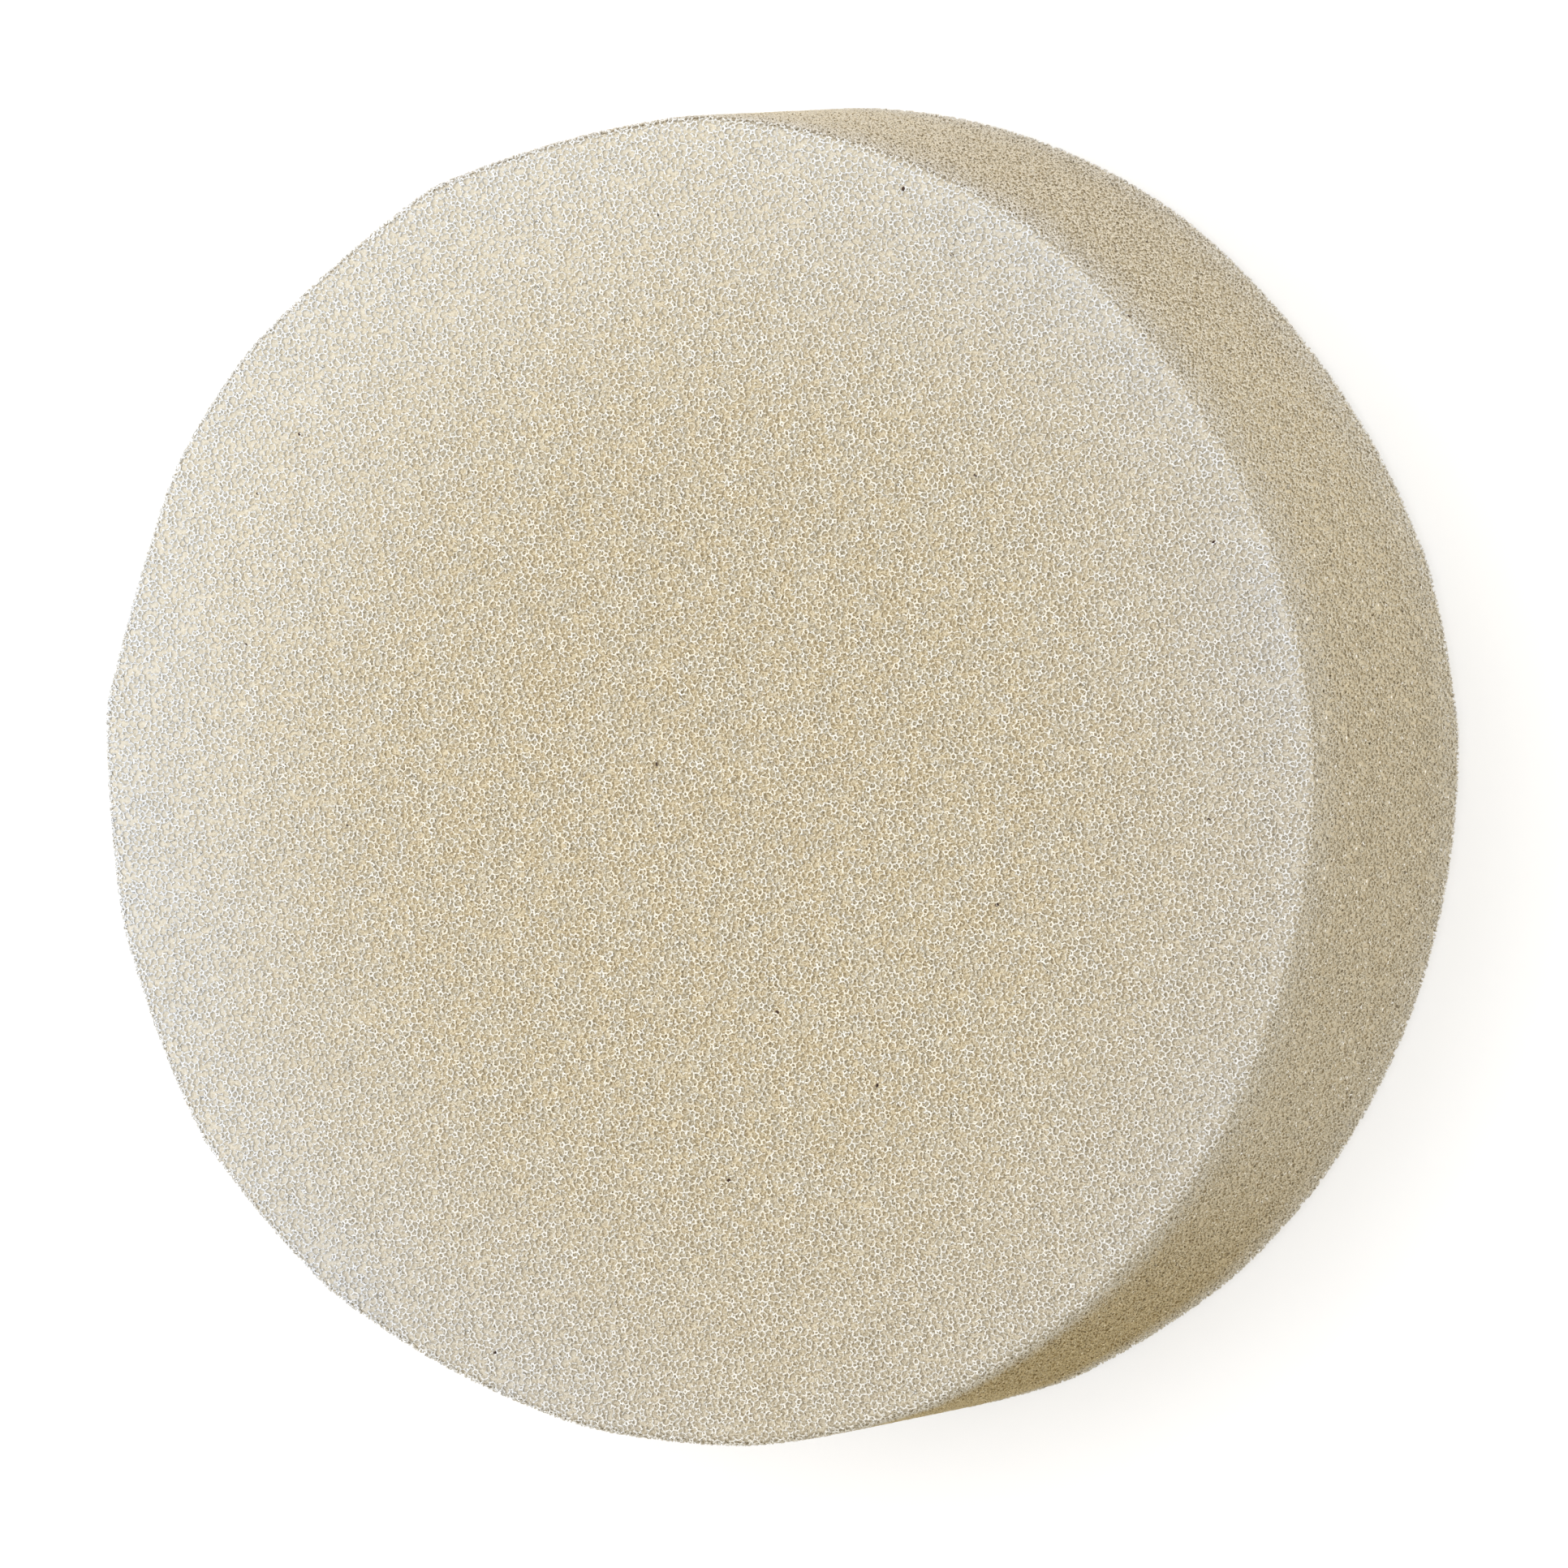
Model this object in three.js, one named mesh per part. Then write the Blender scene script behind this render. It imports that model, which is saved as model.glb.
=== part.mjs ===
// A sponge filter: one thick round disc cut by hand from open-cell filter foam.
// Millimetres, +Z up. The disc lies flat, with its underside on Z = 0 and the
// middle of its bounding box on the Z axis.

import * as THREE from 'three';

// Driving dimensions.
const RADIUS = 70;
const THICKNESS = 42;
const RIM_RADIUS = 1.5; // the small rounding where a face meets the wall
const RIM_STEPS = 3;
const OUTLINE_STEP = 2.5; // degrees between points of the outline

// Where the hand-held cut changed direction, going round from +X towards +Y.
// Between two corners the cut runs nearer to a straight chord, or to the round.
const CORNERS = [
  { angle: 20, offset: 0.0, flatness: 0.5 },
  { angle: 43, offset: -0.3, flatness: 0.1 },
  { angle: 56, offset: -0.1, flatness: 0.7 },
  { angle: 78, offset: 0.6, flatness: 0.55 },
  { angle: 97, offset: 0.35, flatness: 0.4 },
  { angle: 117, offset: 0.85, flatness: 0.4 },
  { angle: 135, offset: 0.5, flatness: 0.3 },
  { angle: 162, offset: 0.2, flatness: 0.3 },
  { angle: 178, offset: 0.35, flatness: 0.2 },
  { angle: 195, offset: 0.3, flatness: 0.35 },
  { angle: 212, offset: -0.15, flatness: 0.05 },
  { angle: 251, offset: -0.35, flatness: 0.1 },
  { angle: 267, offset: 0.3, flatness: 0.3 },
  { angle: 282, offset: 0.4, flatness: 0.1 },
  { angle: 320, offset: 0.1, flatness: 0.1 },
  { angle: 354, offset: 0.2, flatness: 0.4 },
];

// The blade leaned outwards over one stretch, so the wall flares towards the underside.
const FLARE = { angle: -22, halfWidth: 38, offset: 1.0 };

const FOAM = { color: 0xd6cbb0, roughness: 0.95, metalness: 0 };

const radians = THREE.MathUtils.degToRad;

// The radius of the upper outline at an angle in degrees.
function outlineRadius(angle) {
  const turned = (angle - CORNERS[0].angle + 360) % 360 + CORNERS[0].angle;
  const next = CORNERS.findIndex((corner) => corner.angle > turned);
  const to = next < 0 ? CORNERS[0] : CORNERS[next];
  const from = next < 0 ? CORNERS.at(-1) : CORNERS[next - 1];
  const span = (to.angle - from.angle + 360) % 360;
  const share = (turned - from.angle) / span;
  const offset = THREE.MathUtils.lerp(from.offset, to.offset, share);
  const chordDip = RADIUS * (1 - Math.cos(radians(span / 2)));
  return RADIUS + offset - from.flatness * chordDip * 4 * share * (1 - share);
}

// How far the wall's foot stands outside the upper outline at an angle in degrees.
function flareAt(angle) {
  const away = Math.abs(((angle - FLARE.angle + 540) % 360) - 180);
  const share = Math.min(away / FLARE.halfWidth, 1);
  return FLARE.offset * 0.5 * (1 + Math.cos(Math.PI * share));
}

function foamOutline() {
  const shape = new THREE.Shape();
  for (let angle = 0; angle < 360; angle += OUTLINE_STEP) {
    const radius = outlineRadius(angle);
    const x = radius * Math.cos(radians(angle));
    const y = radius * Math.sin(radians(angle));
    if (angle === 0) shape.moveTo(x, y);
    else shape.lineTo(x, y);
  }
  shape.closePath();
  return shape;
}

// Moves each point outwards by the flare's share at its height.
function flareWall(geometry) {
  const points = geometry.attributes.position;
  for (let i = 0; i < points.count; i += 1) {
    const x = points.getX(i);
    const y = points.getY(i);
    const angle = THREE.MathUtils.radToDeg(Math.atan2(y, x));
    const share = 1 - points.getZ(i) / THICKNESS;
    const scale = 1 + (flareAt(angle) * share) / RADIUS;
    points.setXY(i, x * scale, y * scale);
  }
}

function foamDisc() {
  const geometry = new THREE.ExtrudeGeometry(foamOutline(), {
    depth: THICKNESS - 2 * RIM_RADIUS,
    steps: 1,
    bevelEnabled: true,
    bevelThickness: RIM_RADIUS,
    bevelSize: RIM_RADIUS,
    bevelOffset: -RIM_RADIUS,
    bevelSegments: RIM_STEPS,
  });
  geometry.translate(0, 0, RIM_RADIUS);
  flareWall(geometry);
  geometry.computeBoundingBox();
  const middle = geometry.boundingBox.getCenter(new THREE.Vector3());
  geometry.translate(-middle.x, -middle.y, 0);
  geometry.computeVertexNormals();
  const mesh = new THREE.Mesh(geometry, new THREE.MeshStandardMaterial(FOAM));
  mesh.name = 'foam_disc';
  return mesh;
}

const group = new THREE.Group();
group.add(foamDisc());

export default group;
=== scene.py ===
"""A sponge filter: one thick round disc of cream open-cell foam, lying flat.

The foam is built as real foam is: a random network of thin struts, four meeting at each
joint, cut to the shape of the disc. One block of that network repeats without a seam, and
the disc is cut out of the repeated blocks at a slant, so no two places on it look alike.
Under the outermost struts lies a closed core that stands for the depth of the foam.
Metres, +Z up. The wall that faces -Y is the one the camera sees.
"""

import math

import bpy
import numpy as np
from mathutils import Euler, Matrix, Vector


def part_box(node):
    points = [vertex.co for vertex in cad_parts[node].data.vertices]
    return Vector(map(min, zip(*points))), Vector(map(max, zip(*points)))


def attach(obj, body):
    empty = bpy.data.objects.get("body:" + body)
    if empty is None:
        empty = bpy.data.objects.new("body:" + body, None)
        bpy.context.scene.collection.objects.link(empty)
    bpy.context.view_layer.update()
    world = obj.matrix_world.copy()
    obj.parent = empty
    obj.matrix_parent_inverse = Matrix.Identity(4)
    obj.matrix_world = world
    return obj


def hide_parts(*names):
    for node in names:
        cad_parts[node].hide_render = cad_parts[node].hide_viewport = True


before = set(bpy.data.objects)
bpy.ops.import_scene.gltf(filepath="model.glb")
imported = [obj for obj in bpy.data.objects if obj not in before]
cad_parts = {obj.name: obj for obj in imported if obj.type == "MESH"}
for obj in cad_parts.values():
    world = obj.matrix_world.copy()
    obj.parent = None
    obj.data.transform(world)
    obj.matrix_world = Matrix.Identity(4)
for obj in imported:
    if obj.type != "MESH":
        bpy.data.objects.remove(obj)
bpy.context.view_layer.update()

MM = 0.001
SEED = 7

# The cut disc.
NODE = "foam_disc"
RIM_RADIUS = 1.5 * MM
RING_TOLERANCE = 0.05 * MM

# The foam network.
CELL = 0.70 * MM  # the edge of a cube that holds as much as one cell
BLOCK_CELLS = 7  # cells along each edge of the repeating block
BLOCK_TURN = Euler((0.43, 0.71, 0.19))
JOINT_RADIUS = 0.098 * MM
JOINT_SIZES = (0.8, 1.25)  # the smallest and the largest joint, as shares of that
NET_DEPTH = 0.36 * MM  # how far below the surface joints are made
ROOT = 0.06 * MM  # how far the lowest struts run into the core
WALL_SHARE = 0.8  # the share of that depth that the wall has
UNDERSIDE_SHARE = 0.4  # and the face that the disc lies on
SHORTEST_STUB = 0.05  # the least that is left of a cut strut

# How the network is worked out, in cells.
SPREAD_ROUNDS = 60
SPREAD_GAP = 1.05
SPREAD_PUSH = 0.35
NEIGHBOURS = 32
SPHERE_SQUARES = (0.01, 2)  # the squared radii that a joint's empty sphere may have
RELAX_ROUNDS = 80
RELAX_PULL = 0.175
TINY = 1e-9

# The core under the struts.
CORE_STEP = 1.2 * MM
RIM_ROWS = 6

# The texture layout that an export bakes into.
CHART = "OFBake"
CHART_RADIUS = 0.24
TOP_CHART = (0.25, 0.75)
UNDERSIDE_CHART = (0.75, 0.75)
STRIP_START = 0.01
STRIP_LENGTH = 0.98
STRIP_HEIGHT = 0.26  # where the first of the wall's two strips lies
STRIP_STEP = 0.22  # and how far below it the second one lies

# The camera, fitted to how the disc is seen.
CAMERA_DISTANCE = 1.6
CAMERA_TILT = math.radians(24.56)  # off the square-on view of the upper face
CAMERA_ROLL = math.radians(6.17)
CAMERA_LENS = 344.45
CAMERA_SENSOR = 36
CAMERA_REACH = 20
CAMERA_SIDE = 0.00048
CAMERA_DROP = -0.0012

# The studio.
FLOOR_SIZE = 12
FLOOR_HEIGHT = -0.5 * MM
FLOOR_PALENESS = 0.78
FLOOR_ROUGHNESS = 0.9
FLOOR_GLOW = 0.3
SKY_STRENGTH = 0.86
KEY = {"place": (0.10, 0.25, 0.46), "size": 0.8, "power": 1.7}
FILL = {"place": (0.30, -0.90, 0.40), "size": 1.2, "power": 3.7}
LIT_POINT = (0, 0, 0.02)

# Colours of the struts and of the core between them, 0 to 255 a channel. Deep struts and the
# core's pits are darker as painted shade of the foam's depth, and the open end's pits darker
# still. Pale ones are for foam that is paler outwards, partly bleached and partly painted
# light at the rims and from +Y; felt ones are for the rubbed wall, and open ones for the
# wall's sharply cut end. The painted-light ones are painted light on the faces from +X and +Y,
# and the shade tint is painted shade at the wall's -X end.
STRUT_TOP = (249, 243, 228)
STRUT_TOP_PALE = (225, 227, 231)
STRUT_DEEP = (208, 196, 167)
STRUT_DEEP_PALE = (210, 207, 201)
STRUT_BRIGHT = (255, 253, 248)
CORE_PIT = (159, 143, 113)
CORE_PIT_PALE = (189, 183, 171)
CORE_LINE = (219, 208, 182)
CORE_LINE_PALE = (210, 207, 201)
FELT_STRUT = (209, 199, 175)
FELT_STRUT_PALE = (206, 201, 190)
FELT_PIT = (186, 174, 148)
FELT_PIT_PALE = (182, 177, 165)
FELT_LINE = (207, 196, 172)
FELT_DARK = (140, 126, 104)
OPEN_STRUT = (245, 241, 236)
OPEN_PIT = (124, 110, 87)
PAINTED_LIGHT_STRUT = (247, 250, 253)
PAINTED_LIGHT_PIT = (236, 228, 208)
PAINTED_SHADE_TINT = (228, 214, 176)
SPECK = (70, 48, 36)
COOL = (253, 254, 255)
WARM = (255, 252, 244)

# Where those colours lie. All lengths are in millimetres, and each pair is where a mask
# starts and where it ends, as the mask's own line in Zones says.
# Paler outwards: partly bleached foam, partly painted light at the rims and from +Y.
PALE_RADIUS = 68
PALE_POWER = 4
PALE_GAIN = 1.1
PALE_LEAST = 0.08
PALE_ALONG = 0.25  # how much of x counts towards the bleaching of a side
PALE_ASIDE = 0.8  # how much of the distance from the middle line does
PALE_LEFT = 0.5  # and how much of y
PALE_SIDES = (-45, 75)
PALE_PATCH = 28
PALE_WALL = (7, 18)
PALE_RIM = (19, 22)
# Painted light on the faces from +X and +Y, stronger outwards.
PAINTED_LIGHT_X = 0.75
PAINTED_LIGHT_Y = 0.66
PAINTED_LIGHT_MOST = 0.5
PAINTED_LIGHT_RIM = (19, 21)
WALL_EDGE = (19.5, 20.7)
FELT_END = (-5, 50)
OPEN_END = (15, 75)
# Painted shade at the wall's -X end, halfway up.
PAINTED_SHADE_END = (-68, -40)
PAINTED_SHADE_BAND = (12, 20)
MOTTLED_RADII = (35, 65)
MOTTLE_SIZE = 1.45

# The finest marks, in millimetres.
# Struts turn from the top colour to the deep one over these depths: painted shade of the foam's
# depth.
STRUT_DEPTHS = (0.05, 0.3)
GLINT_SIZE = 0.35
DEEPER_CELLS = {"size": 0.45, "strength": 1.0, "shift": (0, 0, 0)}
DEEPEST_CELLS = {"size": 0.38, "strength": 0.55, "shift": (3.3, 1.7, 5.1)}
LINE_EDGES = (0.05, 0.13)  # as shares of a cell
BRIGHT_GRAINS = {"spacing": 6.5, "radius": 0.35, "shift": (9, 4, 2)}
DARK_GRAINS = {"spacing": 8.5, "radius": 0.28, "shift": (0, 0, 0)}
PALE_FLECKS = {"spacing": 1.1, "radius": 0.22, "shift": (5, 8, 3)}
DARK_FLECKS = {"spacing": 1.2, "radius": 0.2, "shift": (2, 6, 7)}
SPECK_CORE = 0.7  # the share of a speck's radius that has its full colour
GLOSS_PATCH = 3.0


# ---------------------------------------------------------------- the cut disc's shape


class CutDisc:
    """The shape of the CAD disc, as the depth of any point below its surface."""

    def __init__(self):
        self.low, self.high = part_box(NODE)
        count = len(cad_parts[NODE].data.vertices)
        points = np.empty(count * 3, np.float32)
        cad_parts[NODE].data.vertices.foreach_get("co", points)
        points = points.reshape(-1, 3).astype(float)
        self.thickness = self.high.z
        self.foot = self.outline(points, RIM_RADIUS)
        self.brow = self.outline(points, self.thickness - RIM_RADIUS)

    def outline(self, points, height):
        """Angles and radii of the wall's edge ring at a height, by rising angle."""
        ring = points[np.abs(points[:, 2] - height) < RING_TOLERANCE]
        angles = np.arctan2(ring[:, 1], ring[:, 0])
        order = np.argsort(angles)
        return angles[order], np.hypot(ring[:, 0], ring[:, 1])[order]

    def wall_radius(self, angles, heights):
        run = self.thickness - 2 * RIM_RADIUS
        share = (heights - RIM_RADIUS) / run
        foot = np.interp(angles, *self.foot, period=2 * math.pi)
        brow = np.interp(angles, *self.brow, period=2 * math.pi)
        return foot + (brow - foot) * share

    def net_depth(self, heights):
        """How deep the open network goes: all the way only at the upper face and its rim."""
        top = self.thickness
        known = (0, RIM_RADIUS, top - 3 * RIM_RADIUS, top - RIM_RADIUS)
        shares = (UNDERSIDE_SHARE, WALL_SHARE, WALL_SHARE, 1)
        return NET_DEPTH * np.interp(heights, known, shares)

    def depth(self, points):
        """How far each point is inside the disc, with its rims rounded."""
        x, y, z = points[..., 0], points[..., 1], points[..., 2]
        from_wall = self.wall_radius(np.arctan2(y, x), z) - np.hypot(x, y)
        from_face = self.thickness / 2 - np.abs(z - self.thickness / 2)
        a, b = RIM_RADIUS - from_wall, RIM_RADIUS - from_face
        outside = np.hypot(np.maximum(a, 0), np.maximum(b, 0))
        return RIM_RADIUS - outside - np.minimum(np.maximum(a, b), 0)


# ---------------------------------------------------------------- one block of foam


def wrapped(vectors, edge):
    """Vectors between points of a repeating block, by the shortest way round."""
    return vectors - edge * np.round(vectors / edge)


def spread_sites(rng, count, edge):
    """Cell centres at random in a block, pushed apart until they are evenly spaced."""
    sites = rng.random((count, 3)) * edge
    for _ in range(SPREAD_ROUNDS):
        apart = wrapped(sites[:, None] - sites[None], edge)
        gap = np.linalg.norm(apart, axis=2)
        np.fill_diagonal(gap, edge)
        push = np.clip(SPREAD_GAP - gap, 0, None)[..., None] * apart / gap[..., None]
        sites = (sites + SPREAD_PUSH * push.sum(1)) % edge
    return sites


def canonical(corners):
    """Corners of a cell cluster as (cell, block), with the first one moved to block 0."""
    base = corners[0][1]
    moved = tuple((c, tuple(np.subtract(block, base).tolist())) for c, block in corners)
    return moved, base


def foam_joints(sites, edge):
    """Where four cells meet: {its four cells: its place}, each joint once per block."""
    steps = (-1, 0, 1)
    blocks = np.array([(i, j, k) for i in steps for j in steps for k in steps])
    everyone = (sites[None] + edge * blocks[:, None]).reshape(-1, 3)
    cell_of = np.tile(np.arange(len(sites)), len(blocks))
    block_of = np.repeat(blocks, len(sites), axis=0)
    one, two, three = np.array(
        [
            (i, j, k)
            for i in range(NEIGHBOURS)
            for j in range(i + 1, NEIGHBOURS)
            for k in range(j + 1, NEIGHBOURS)
        ]
    ).T
    joints = {}
    for cell, site in enumerate(sites):
        away = everyone - site
        near = np.argsort((away * away).sum(1))[1 : NEIGHBOURS + 1]
        away = away[near]
        squares = (away * away).sum(1)
        a, b, c = away[one], away[two], away[three]
        b_by_c = np.cross(b, c)
        volume = (a * b_by_c).sum(1)
        top = squares[one][:, None] * b_by_c
        top += squares[two][:, None] * np.cross(c, a) + squares[three][:, None] * np.cross(a, b)
        middle = top / (2 * np.where(np.abs(volume) < TINY, 1 / TINY, volume))[:, None]
        radius = (middle * middle).sum(1)
        empty = (radius > SPHERE_SQUARES[0]) & (radius < SPHERE_SQUARES[1])
        for other in away:
            gap = middle - other
            empty &= (gap * gap).sum(1) > radius - TINY
        for i in np.flatnonzero(empty):
            others = near[[one[i], two[i], three[i]]]
            around = [(cell, (0, 0, 0))]
            around += [(int(cell_of[n]), tuple(block_of[n].tolist())) for n in others]
            key, base = canonical(sorted(around))
            joints.setdefault(key, middle[i] + site - edge * np.array(base))
    return joints


def foam_struts(joints):
    """Pairs of joints that share three cells, as rows of joint, joint, block of the second."""
    ends = {}
    for number, corners in enumerate(joints):
        for left_out in range(4):
            trio, base = canonical([c for i, c in enumerate(corners) if i != left_out])
            ends.setdefault(trio, []).append((number, np.array(base)))
    pairs = [pair for pair in ends.values() if len(pair) == 2]
    return np.array([(a, b, *(at - to)) for (a, at), (b, to) in pairs])


def relaxed(places, struts, edge):
    """Joints moved until all struts are about equally long, as surface tension would."""
    a, b, blocks = struts[:, 0], struts[:, 1], struts[:, 2:]
    length = None
    for _ in range(RELAX_ROUNDS):
        along = places[b] + edge * blocks - places[a]
        size = np.linalg.norm(along, axis=1)[:, None]
        length = np.median(size) if length is None else length
        pull = RELAX_PULL * (size - length) * along / np.maximum(size, TINY)
        places = places.copy()
        np.add.at(places, a, pull)
        np.add.at(places, b, -pull)
    return places


class FoamBlock:
    """One repeating block of the network, in metres and turned to the disc's slant.

    Each joint is a small tetrahedron with a face towards each of its four struts, and a
    strut is a three-sided tube between two such faces, so the whole network is one skin.
    """

    def __init__(self):
        rng = np.random.default_rng(SEED)
        sites = spread_sites(rng, BLOCK_CELLS**3, BLOCK_CELLS)
        joints = foam_joints(sites, BLOCK_CELLS)
        struts = foam_struts(joints)
        places = relaxed(np.array(list(joints.values())), struts, BLOCK_CELLS)
        self.turn = np.array(BLOCK_TURN.to_matrix()) * CELL
        self.count = len(places)
        self.places = places @ self.turn.T
        self.axes = BLOCK_CELLS * self.turn.T
        self.link(struts)
        self.shape(rng)

    def link(self, struts):
        """The four ways out of each joint: to which joint, in which block, by which way."""
        self.to = np.full((self.count, 4), -1)
        self.block = np.zeros((self.count, 4, 3), int)
        self.back = np.zeros((self.count, 4), int)
        used = np.zeros(self.count, int)
        for a, b, *block in struts.tolist():
            way_a, way_b = used[a], used[b]
            if max(way_a, way_b) > 3:
                continue
            self.to[a, way_a], self.to[b, way_b] = b, a
            self.block[a, way_a], self.block[b, way_b] = block, np.negative(block)
            self.back[a, way_a], self.back[b, way_b] = way_b, way_a
            used[a] += 1
            used[b] += 1

    def shape(self, rng):
        """Each joint's four corners, and which three of them face along each way out."""
        ends = self.places[self.to] + self.block @ self.axes
        ways = ends - self.places[:, None]
        ways /= np.maximum(np.linalg.norm(ways, axis=2, keepdims=True), TINY**2)
        missing = self.to < 0
        ways[missing] = 0
        ways[missing] = -ways.sum(1)[np.nonzero(missing)[0]]
        size = JOINT_RADIUS * rng.uniform(*JOINT_SIZES, (self.count, 1, 1))
        self.corners = -ways * size
        others = np.array([[j for j in range(4) if j != way] for way in range(4)])
        self.near = np.zeros((self.count, 4, 3), int)
        self.far = np.zeros((self.count, 4, 3), int)
        for way in range(4):
            axis = ways[:, way]
            self.near[:, way] = self.turning(self.corners, axis, others[way])
            there = self.corners[self.to[:, way]]
            opposite = others[self.back[:, way]]
            self.far[:, way] = self.turning(there, axis, opposite)
            self.far[:, way] = self.untwisted(way)

    @staticmethod
    def turning(corners, axis, picked):
        """The picked corners of each joint, in the order they turn about its axis."""
        helper = np.where(np.abs(axis[:, :1]) < 0.7, [[1.0, 0, 0]], [[0, 1.0, 0]])
        across = np.cross(axis, helper)
        across /= np.maximum(np.linalg.norm(across, axis=1, keepdims=True), TINY)
        up = np.cross(axis, across)
        picked = np.broadcast_to(picked, (len(axis), 3))
        three = np.take_along_axis(corners, picked[..., None], 1)
        three = three - three.mean(1, keepdims=True)
        angle = np.arctan2((three * up[:, None]).sum(2), (three * across[:, None]).sum(2))
        return np.take_along_axis(picked, np.argsort(angle, axis=1), 1)

    def untwisted(self, way):
        """The far corners in the turn that lines up best with the near ones."""
        near = np.take_along_axis(self.corners, self.near[:, way, :, None], 1)
        there = self.corners[self.to[:, way]]
        best = None
        for turns in range(3):
            far = np.roll(self.far[:, way], turns, axis=1)
            gap = ((near - np.take_along_axis(there, far[..., None], 1)) ** 2).sum((1, 2))
            if best is None:
                best, found = gap, far
            else:
                found = np.where((gap < best)[:, None], far, found)
                best = np.minimum(gap, best)
        return found


# ---------------------------------------------------------------- the network on the disc


def blocks_at_surface(disc, block):
    """The blocks that the disc's outer layer runs through, as rows of whole numbers."""
    reach = np.linalg.norm(disc.high - disc.low) / 2
    most = int(np.ceil(reach / (BLOCK_CELLS * CELL))) + 1
    steps = np.arange(-most, most + 1)
    blocks = np.stack(np.meshgrid(steps, steps, steps, indexing="ij"), -1).reshape(-1, 3)
    around = BLOCK_CELLS * CELL * math.sqrt(3) / 2
    middle = (blocks + 0.5) @ block.axes + [0, 0, disc.thickness / 2]
    depth = disc.depth(middle)
    return blocks[(depth > -around) & (depth < NET_DEPTH + around)], most


class Network:
    """The joints near the disc's surface, in the order of their numbers, and their struts."""

    def __init__(self, disc, block):
        self.disc, self.block = disc, block
        rows, self.most = blocks_at_surface(disc, block)
        self.middle = np.array([0, 0, disc.thickness / 2])
        at_block, joint = [], []
        for row in rows:
            points = block.places + row @ block.axes + self.middle
            depth = disc.depth(points)
            inside = np.flatnonzero((depth > 0) & (depth < disc.net_depth(points[:, 2])))
            at_block.append(np.repeat(row[None], len(inside), 0))
            joint.append(inside)
        at_block, joint = np.concatenate(at_block), np.concatenate(joint)
        numbers = self.number(at_block, joint)
        order = np.argsort(numbers)
        self.at_block, self.joint, self.numbers = at_block[order], joint[order], numbers[order]
        self.place = block.places[self.joint] + self.at_block @ block.axes + self.middle
        self.hubs = self.place[:, None] + block.corners[self.joint]

    def number(self, blocks, joints):
        """One whole number for each joint of each block."""
        width = 2 * self.most + 3
        i, j, k = (blocks + self.most + 1).T
        return ((i * width + j) * width + k) * self.block.count + joints

    def mesh(self):
        """Points, quads and end caps of all struts. A strut between two joints is made once."""
        block = self.block
        quads, caps, extra = [], [], []
        extra_start = len(self.hubs) * 4
        for way in range(4):
            to = block.to[self.joint, way]
            to_block = self.at_block + block.block[self.joint, way]
            to_number = self.number(to_block, to)
            seat = np.searchsorted(self.numbers, to_number)
            seat[seat == len(self.numbers)] = 0
            kept = (self.numbers[seat] == to_number) & (to >= 0)
            near = np.arange(len(self.joint))[:, None] * 4 + block.near[self.joint, way]
            far = seat[:, None] * 4 + block.far[self.joint, way]
            whole = kept & (self.numbers < to_number)
            quads.append(tube(near[whole], far[whole]))
            cut = ~kept & (to >= 0)
            tips = self.tips(way, to, to_block, near, cut)
            tip = extra_start + np.arange(len(tips) * 3).reshape(-1, 3)
            extra_start += len(tips) * 3
            extra.append(tips.reshape(-1, 3))
            quads.append(tube(near[cut], tip))
            caps += [tip, near[to < 0]]
        points = np.concatenate([self.hubs.reshape(-1, 3), *extra])
        return points, np.concatenate(quads), np.concatenate(caps)

    def tips(self, way, to, to_block, near, cut):
        """Where the struts that leave the network end: at the surface, or inside the core."""
        disc, block = self.disc, self.block
        end = block.places[to] + to_block @ block.axes + self.middle
        far = block.far[self.joint, way][..., None]
        there = end[:, None] + np.take_along_axis(block.corners[to], far, 1)
        here = self.hubs.reshape(-1, 3)[near]
        from_depth, to_depth = disc.depth(self.place), disc.depth(end)
        limit = np.where(to_depth < from_depth, 0.0, disc.net_depth(end[:, 2]) + ROOT)
        share = (limit - from_depth) / np.where(cut, to_depth - from_depth, 1.0)
        share = np.clip(share, SHORTEST_STUB, 1.0)[:, None, None]
        return (here + (there - here) * share)[cut]


def tube(near, far):
    """The three sides between two rings of three corners, as rows of four corners."""
    sides = [
        np.stack([near[:, i], near[:, j], far[:, j], far[:, i]], 1)
        for i, j in ((0, 1), (1, 2), (2, 0))
    ]
    return np.concatenate(sides)


# ---------------------------------------------------------------- the core


def core_profile(disc):
    """The core's section, from the middle of the underside round to the middle of the top.

    Each row says how far across the flat face a point is, how far outside that, and how high.
    """
    flat = disc.brow[1].max() - RIM_RADIUS
    across = np.arange(CORE_STEP, flat, CORE_STEP) / flat
    turn = np.linspace(0, math.pi / 2, RIM_ROWS)
    top = disc.thickness - RIM_RADIUS
    up = np.arange(RIM_RADIUS + CORE_STEP, top - CORE_STEP / 2, CORE_STEP)
    foot = RIM_RADIUS - disc.net_depth(RIM_RADIUS * (1 - np.cos(turn)))
    brow = RIM_RADIUS - NET_DEPTH
    low = np.full(len(across), UNDERSIDE_SHARE * NET_DEPTH)
    high = np.full(len(across), disc.thickness - NET_DEPTH)
    rows = [
        (across, 0 * across, low),
        (1 + 0 * turn, foot * np.sin(turn), RIM_RADIUS - foot * np.cos(turn)),
        (1 + 0 * up, RIM_RADIUS - disc.net_depth(up), up),
        (1 + 0 * turn, brow * np.cos(turn), top + brow * np.sin(turn)),
        (across[::-1], 0 * across, high),
    ]
    return np.concatenate([np.stack(part, 1) for part in rows])


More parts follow.
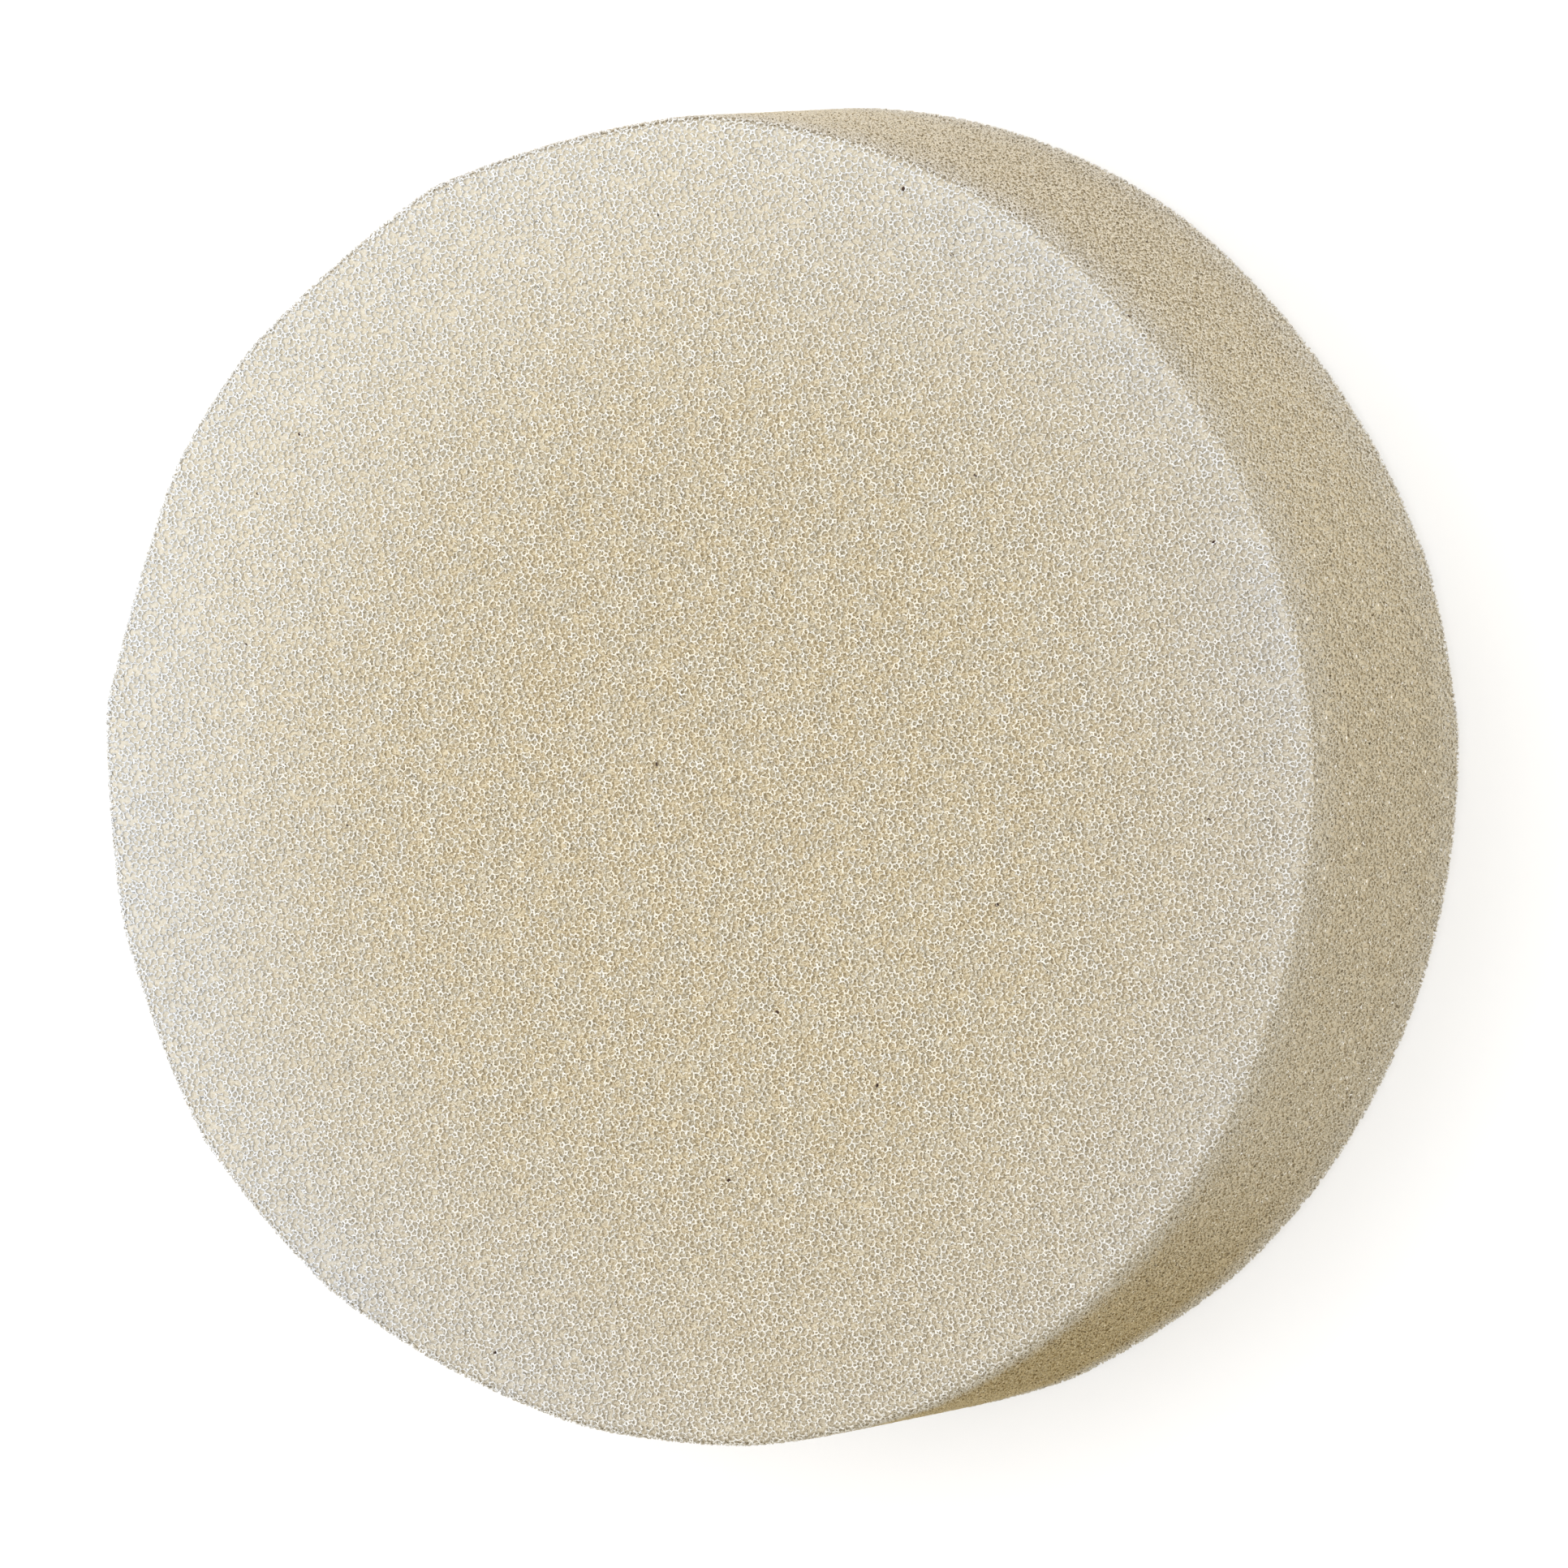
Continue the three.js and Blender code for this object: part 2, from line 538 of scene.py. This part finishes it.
def core_mesh(disc):
    share, out, height = core_profile(disc).T[..., None]
    turns = int(2 * math.pi * disc.brow[1].max() / CORE_STEP)
    angles = np.arange(turns) * 2 * math.pi / turns + 0 * height
    upright = np.clip(height, RIM_RADIUS, disc.thickness - RIM_RADIUS)
    radius = (disc.wall_radius(angles, upright) - RIM_RADIUS) * share + out
    grid = np.stack([radius * np.cos(angles), radius * np.sin(angles), height + 0 * angles], 2)
    ends = np.array([[0, 0, height[0, 0]], [0, 0, height[-1, 0]]])
    points = np.concatenate([grid.reshape(-1, 3), ends])
    here = np.arange(turns)
    after = (here + 1) % turns
    quads = []
    for row in range(len(grid) - 1):
        low, high = row * turns, (row + 1) * turns
        quads.append(np.stack([low + here, low + after, high + after, high + here], 1))
    last = (len(grid) - 1) * turns
    underside = np.stack([after, here, 0 * here + len(points) - 2], 1)
    top = np.stack([last + here, last + after, 0 * here + len(points) - 1], 1)
    return points, np.concatenate(quads), np.concatenate([underside, top])


# ---------------------------------------------------------------- meshes and materials


def make_object(name, points, quads, triangles):
    mesh = bpy.data.meshes.new(name)
    corners = np.concatenate([quads.ravel(), triangles.ravel()])
    starts = np.concatenate(
        [np.arange(len(quads)) * 4, len(quads) * 4 + np.arange(len(triangles)) * 3]
    )
    mesh.vertices.add(len(points))
    mesh.vertices.foreach_set("co", points.astype(np.float32).ravel())
    mesh.loops.add(len(corners))
    mesh.loops.foreach_set("vertex_index", corners.astype(np.int32))
    mesh.polygons.add(len(starts))
    mesh.polygons.foreach_set("loop_start", starts.astype(np.int32))
    mesh.update(calc_edges=True)
    mesh.shade_smooth()
    piece = bpy.data.objects.new(name, mesh)
    bpy.context.scene.collection.objects.link(piece)
    return piece


def add_depth(piece, disc, points):
    """Each point's depth below the disc's surface, in millimetres, for the material."""
    depth = piece.data.attributes.new("depth", "FLOAT", "POINT")
    depth.data.foreach_set("value", (disc.depth(points) / MM).astype(np.float32))


def lay_out(piece, disc):
    """The piece's texture layout: the top, the underside, and the wall in two strips.

    Each polygon goes to one chart by where its middle is, so no polygon is stretched.
    """
    mesh = piece.data
    points = np.empty(len(mesh.vertices) * 3, np.float32)
    mesh.vertices.foreach_get("co", points)
    points = points.reshape(-1, 3)
    corner = np.empty(len(mesh.loops), np.int32)
    mesh.loops.foreach_get("vertex_index", corner)
    sizes = np.empty(len(mesh.polygons), np.int32)
    mesh.polygons.foreach_get("loop_total", sizes)
    centre = np.empty(len(mesh.polygons) * 3, np.float32)
    mesh.polygons.foreach_get("center", centre)
    centre = np.repeat(centre.reshape(-1, 3), sizes, axis=0)
    place = points[corner]
    radius = disc.brow[1].max()
    scale = CHART_RADIUS / radius
    middle = disc.thickness / 2
    from_face = middle - np.abs(centre[:, 2] - middle)
    from_wall = radius - np.hypot(centre[:, 0], centre[:, 1])
    on_top = centre[:, 2] > middle
    layout = place[:, :2] * scale + np.where(on_top[:, None], TOP_CHART, UNDERSIDE_CHART)
    turn = np.arctan2(centre[:, 1], centre[:, 0])
    ahead = np.arctan2(place[:, 1], place[:, 0]) - turn
    ahead = (ahead + math.pi) % (2 * math.pi) - math.pi
    strip = turn < 0
    along = (turn + strip * math.pi + ahead) / math.pi
    up = STRIP_HEIGHT - STRIP_STEP * strip + place[:, 2] * scale
    wall = np.stack([STRIP_START + STRIP_LENGTH * along, up], 1)
    layout = np.where((from_face < from_wall)[:, None], layout, wall)
    chart = mesh.uv_layers.new(name=CHART)
    chart.data.foreach_set("uv", layout.astype(np.float32).ravel())


def linear(colour):
    """A colour written as 0 to 255 a channel, as the light values that a shader takes."""
    channels = [c / 255 for c in colour]
    return tuple(c / 12.92 if c <= 0.04045 else ((c + 0.055) / 1.055) ** 2.4 for c in channels)


class Nodes:
    """A material's node tree, with a short way to add each node that is used here."""

    def __init__(self, name):
        self.material = bpy.data.materials.new(name)
        self.material.use_nodes = True
        self.tree = self.material.node_tree
        self.shader = self.tree.nodes["Principled BSDF"]
        place = self.tree.nodes.new("ShaderNodeTexCoord").outputs["Object"]
        self.place = self.vector("SCALE", place, scale=1 / MM)

    def put(self, socket, value):
        if isinstance(value, bpy.types.NodeSocket):
            self.tree.links.new(value, socket)
        else:
            socket.default_value = value

    def vector(self, operation, first, second=(0, 0, 0), scale=1.0):
        node = self.tree.nodes.new("ShaderNodeVectorMath")
        node.operation = operation
        self.put(node.inputs[0], first)
        self.put(node.inputs[1], second)
        node.inputs[3].default_value = scale
        return node.outputs["Value" if operation == "LENGTH" else "Vector"]

    def math(self, operation, first, second=0.0):
        node = self.tree.nodes.new("ShaderNodeMath")
        node.operation = operation
        self.put(node.inputs[0], first)
        self.put(node.inputs[1], second)
        return node.outputs["Value"]

    def times(self, first, second):
        return self.math("MULTIPLY", first, second)

    def plus(self, first, second):
        return self.math("ADD", first, second)

    def ramp(self, value, span, to_low=0.0, to_high=1.0):
        """A smooth step of the value, from to_low where the span starts to to_high at its end."""
        node = self.tree.nodes.new("ShaderNodeMapRange")
        node.interpolation_type = "SMOOTHSTEP"
        self.put(node.inputs["Value"], value)
        node.inputs["From Min"].default_value, node.inputs["From Max"].default_value = span
        node.inputs["To Min"].default_value = to_low
        node.inputs["To Max"].default_value = to_high
        return node.outputs["Result"]

    def mix(self, share, first, second, blend="MIX"):
        """Two colours, each a socket or 0 to 255 a channel, with this share of the second."""
        node = self.tree.nodes.new("ShaderNodeMix")
        node.data_type = "RGBA"
        node.blend_type = blend
        self.put(node.inputs["Factor"], share)
        for socket, value in ((node.inputs[6], first), (node.inputs[7], second)):
            is_socket = isinstance(value, bpy.types.NodeSocket)
            self.put(socket, value if is_socket else (*linear(value), 1))
        return node.outputs[2]

    def noise(self, size, detail=2.0):
        """Smooth noise from about 0.3 to 0.7 with features of this size in millimetres."""
        node = self.tree.nodes.new("ShaderNodeTexNoise")
        node.inputs["Scale"].default_value = 1 / size
        node.inputs["Detail"].default_value = detail
        self.put(node.inputs["Vector"], self.place)
        return node.outputs["Fac"]

    def cells(self, size, feature, shift):
        """The distance to the nearest cell wall or cell centre, in cells of this size."""
        node = self.tree.nodes.new("ShaderNodeTexVoronoi")
        node.feature = feature
        node.inputs["Scale"].default_value = 1 / size
        self.put(node.inputs["Vector"], self.vector("ADD", self.place, shift))
        return node.outputs["Distance"]

    def specks(self, spacing, radius, shift):
        """A mask of sparse round grains in the foam."""
        distance = self.cells(spacing, "F1", shift)
        reach = radius / spacing
        return self.ramp(distance, (SPECK_CORE * reach, reach), 1.0, 0.0)

    def lines(self, size, strength, shift):
        """A mask of the walls between random cells."""
        distance = self.cells(size, "DISTANCE_TO_EDGE", shift)
        return self.ramp(distance, LINE_EDGES, strength, 0.0)

    def attribute(self, name):
        node = self.tree.nodes.new("ShaderNodeAttribute")
        node.attribute_name = name
        return node.outputs["Fac"]


class Zones:
    """Masks of where the foam has changed colour, and where light and shade are painted, by place
    on the disc.
    """

    def __init__(self, nodes, disc):
        parts = nodes.tree.nodes.new("ShaderNodeSeparateXYZ")
        nodes.put(parts.inputs[0], nodes.place)
        self.x, self.y, z = parts.outputs
        self.nodes = nodes
        self.radius = nodes.vector("LENGTH", nodes.vector("MULTIPLY", nodes.place, (1, 1, 0)))
        middle = disc.thickness / 2 / MM
        self.from_middle = nodes.math("ABSOLUTE", nodes.math("SUBTRACT", z, middle))
        wall = nodes.ramp(self.from_middle, WALL_EDGE, 1.0, 0.0)
        # Paler outwards, partly bleached and partly painted light.
        self.pale = self.bleached_and_lit()
        # Painted light on the faces from +X and +Y.
        self.painted_light = self.lit()
        # Rubbed soft everywhere on the wall, and least of all towards +X.
        self.felted = nodes.times(wall, nodes.ramp(self.x, FELT_END, 0.9, 0.3))
        # The wall's end at +X, where the cells are open.
        self.open_cut = nodes.times(wall, nodes.ramp(self.x, OPEN_END))
        # Painted shade: yellowed and darker at the -X end, halfway up.
        band = nodes.ramp(self.from_middle, PAINTED_SHADE_BAND, 1.0, 0.0)
        self.painted_shade = nodes.times(nodes.ramp(self.x, PAINTED_SHADE_END, 1.0, 0.2), band)
        # In warm and cool patches, most of all around the middle of the faces.
        self.mottled = nodes.ramp(self.radius, MOTTLED_RADII, 1.0, 0.3)

    def bleached_and_lit(self):
        """Paler outwards, more at +Y and -Y than at -X, and at the wall's rims: partly bleached
        foam, partly painted light at the rims and from +Y.
        """
        nodes = self.nodes
        outward = nodes.math("POWER", nodes.math("DIVIDE", self.radius, PALE_RADIUS), PALE_POWER)
        outward = nodes.times(outward, PALE_GAIN)
        side = nodes.times(nodes.math("ABSOLUTE", self.y), PALE_ASIDE)
        side = nodes.plus(side, nodes.times(self.y, PALE_LEFT))
        side = nodes.plus(nodes.times(self.x, PALE_ALONG), side)
        outward = nodes.times(outward, nodes.ramp(side, PALE_SIDES, 0.1, 1.0))
        outward = nodes.times(outward, nodes.ramp(nodes.noise(PALE_PATCH), (0.3, 0.7), 0.75, 1.25))
        low_down = nodes.ramp(self.from_middle, PALE_WALL, 0.0, 0.3)
        at_rims = nodes.ramp(self.from_middle, PALE_RIM, 0.0, 0.7)
        return nodes.times(nodes.plus(outward, PALE_LEAST), nodes.plus(low_down, at_rims))

    def lit(self):
        """Painted light: paler still on the faces towards +X and +Y, more so outwards."""
        nodes = self.nodes
        toward = nodes.plus(nodes.times(self.x, PAINTED_LIGHT_X), nodes.times(self.y, PAINTED_LIGHT_Y))
        toward = nodes.times(nodes.plus(self.radius, toward), self.radius)
        share = nodes.ramp(toward, (0, 2 * PALE_RADIUS**2), 0.0, PAINTED_LIGHT_MOST)
        return nodes.times(share, nodes.ramp(self.from_middle, PAINTED_LIGHT_RIM))


def finish_colour(nodes, zones, colour):
    """Adds what struts and core share: mottling, flecks on the wall, painted shade at the wall's
    -X end and dark grains.
    """
    warm = nodes.ramp(nodes.noise(MOTTLE_SIZE, 0.0), (0.35, 0.65))
    colour = nodes.mix(zones.mottled, colour, nodes.mix(warm, COOL, WARM), "MULTIPLY")
    pale_flecks = nodes.times(zones.felted, nodes.specks(**PALE_FLECKS))
    dark_flecks = nodes.times(zones.felted, nodes.specks(**DARK_FLECKS))
    colour = nodes.mix(pale_flecks, colour, STRUT_BRIGHT)
    colour = nodes.mix(dark_flecks, colour, FELT_DARK)
    # Painted shade at the wall's -X end.
    colour = nodes.mix(zones.painted_shade, colour, PAINTED_SHADE_TINT, "MULTIPLY")
    return nodes.mix(nodes.specks(**DARK_GRAINS), colour, SPECK)


def finish_material(nodes, colour, least_rough, most_rough):
    rough = nodes.ramp(nodes.noise(GLOSS_PATCH), (0.3, 0.7), least_rough, most_rough)
    nodes.put(nodes.shader.inputs["Base Color"], colour)
    nodes.put(nodes.shader.inputs["Roughness"], rough)
    return nodes.material


def strut_material(disc):
    nodes = Nodes("foam_struts")
    zones = Zones(nodes, disc)
    top = nodes.mix(zones.pale, STRUT_TOP, STRUT_TOP_PALE)
    deep = nodes.mix(zones.pale, STRUT_DEEP, STRUT_DEEP_PALE)
    felt = nodes.mix(zones.pale, FELT_STRUT, FELT_STRUT_PALE)
    # Deeper struts darker and warmer: painted shade of the foam's depth.
    colour = nodes.mix(nodes.ramp(nodes.attribute("depth"), STRUT_DEPTHS), top, deep)
    colour = nodes.mix(nodes.ramp(nodes.noise(GLINT_SIZE), (0.5, 0.72)), colour, STRUT_BRIGHT)
    colour = nodes.mix(nodes.specks(**BRIGHT_GRAINS), colour, STRUT_BRIGHT)
    colour = nodes.mix(zones.felted, colour, felt)
    colour = nodes.mix(zones.open_cut, colour, OPEN_STRUT, "MULTIPLY")
    # Painted light towards +X and +Y.
    colour = nodes.mix(zones.painted_light, colour, PAINTED_LIGHT_STRUT)
    return finish_material(nodes, finish_colour(nodes, zones, colour), 0.5, 0.75)


def core_material(disc):
    nodes = Nodes("foam_core")
    zones = Zones(nodes, disc)
    felt = nodes.mix(zones.pale, FELT_PIT, FELT_PIT_PALE)
    # The core's pits are painted shade of the foam's depth, darker still at the open-cut end.
    pit = nodes.mix(zones.felted, nodes.mix(zones.pale, CORE_PIT, CORE_PIT_PALE), felt)
    pit = nodes.mix(zones.open_cut, pit, OPEN_PIT)
    line = nodes.mix(zones.felted, nodes.mix(zones.pale, CORE_LINE, CORE_LINE_PALE), FELT_LINE)
    lines = nodes.math("MAXIMUM", nodes.lines(**DEEPER_CELLS), nodes.lines(**DEEPEST_CELLS))
    # Painted light towards +X and +Y.
    colour = nodes.mix(zones.painted_light, nodes.mix(lines, pit, line), PAINTED_LIGHT_PIT)
    return finish_material(nodes, finish_colour(nodes, zones, colour), 0.8, 0.95)


def floor_material():
    nodes = Nodes("floor")
    shader = nodes.shader.inputs
    shader["Base Color"].default_value = (FLOOR_PALENESS, FLOOR_PALENESS, FLOOR_PALENESS, 1)
    shader["Roughness"].default_value = FLOOR_ROUGHNESS
    shader["Emission Color"].default_value = (1, 1, 1, 1)
    shader["Emission Strength"].default_value = FLOOR_GLOW
    return nodes.material


# ---------------------------------------------------------------- camera, floor, light


def aim_camera():
    camera = bpy.data.objects.new("camera", bpy.data.cameras.new("camera"))
    bpy.context.scene.collection.objects.link(camera)
    back = Vector((0, -math.sin(CAMERA_TILT), math.cos(CAMERA_TILT)))
    across = Vector((0, -math.cos(CAMERA_TILT), -math.sin(CAMERA_TILT)))
    along = Vector((1, 0, 0))
    right = math.cos(CAMERA_ROLL) * across - math.sin(CAMERA_ROLL) * along
    up = math.sin(CAMERA_ROLL) * across + math.cos(CAMERA_ROLL) * along
    low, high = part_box(NODE)
    middle = Vector((0, 0, (low.z + high.z) / 2))
    place = middle + CAMERA_DISTANCE * back + CAMERA_SIDE * right + CAMERA_DROP * up
    turn = Matrix((right, up, back)).transposed().to_4x4()
    camera.matrix_world = Matrix.Translation(place) @ turn
    camera.data.lens = CAMERA_LENS
    camera.data.sensor_width = CAMERA_SENSOR
    camera.data.clip_end = CAMERA_REACH
    bpy.context.scene.camera = camera


def area_light(name, place, size, power):
    """A round soft light, aimed at the disc."""
    light = bpy.data.lights.new(name, "AREA")
    light.shape = "DISK"
    light.size = size
    light.energy = power
    lamp = bpy.data.objects.new(name, light)
    lamp.location = place
    aim = Vector(LIT_POINT) - Vector(place)
    lamp.rotation_euler = aim.to_track_quat("-Z", "Y").to_euler()
    bpy.context.scene.collection.objects.link(lamp)


def make_stage():
    bpy.ops.mesh.primitive_plane_add(size=FLOOR_SIZE, location=(0, 0, FLOOR_HEIGHT))
    floor = bpy.context.object
    floor.name = "floor"
    floor.data.materials.append(floor_material())
    world = bpy.data.worlds.new("studio")
    world.use_nodes = True
    sky = world.node_tree.nodes["Background"].inputs
    sky["Color"].default_value = (1, 1, 1, 1)
    sky["Strength"].default_value = SKY_STRENGTH
    bpy.context.scene.world = world
    area_light("key", **KEY)
    area_light("fill", **FILL)
    bpy.context.scene.view_settings.view_transform = "Standard"


disc = CutDisc()
block = FoamBlock()
aim_camera()
make_stage()

points, quads, caps = Network(disc, block).mesh()
struts = make_object("foam_struts", points, quads, caps)
add_depth(struts, disc, points)
struts.data.materials.append(strut_material(disc))
points, quads, caps = core_mesh(disc)
core = make_object("foam_core", points, quads, caps)
core.data.materials.append(core_material(disc))
for piece in (struts, core):
    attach(piece, "root")
    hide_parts(NODE)
    lay_out(piece, disc)
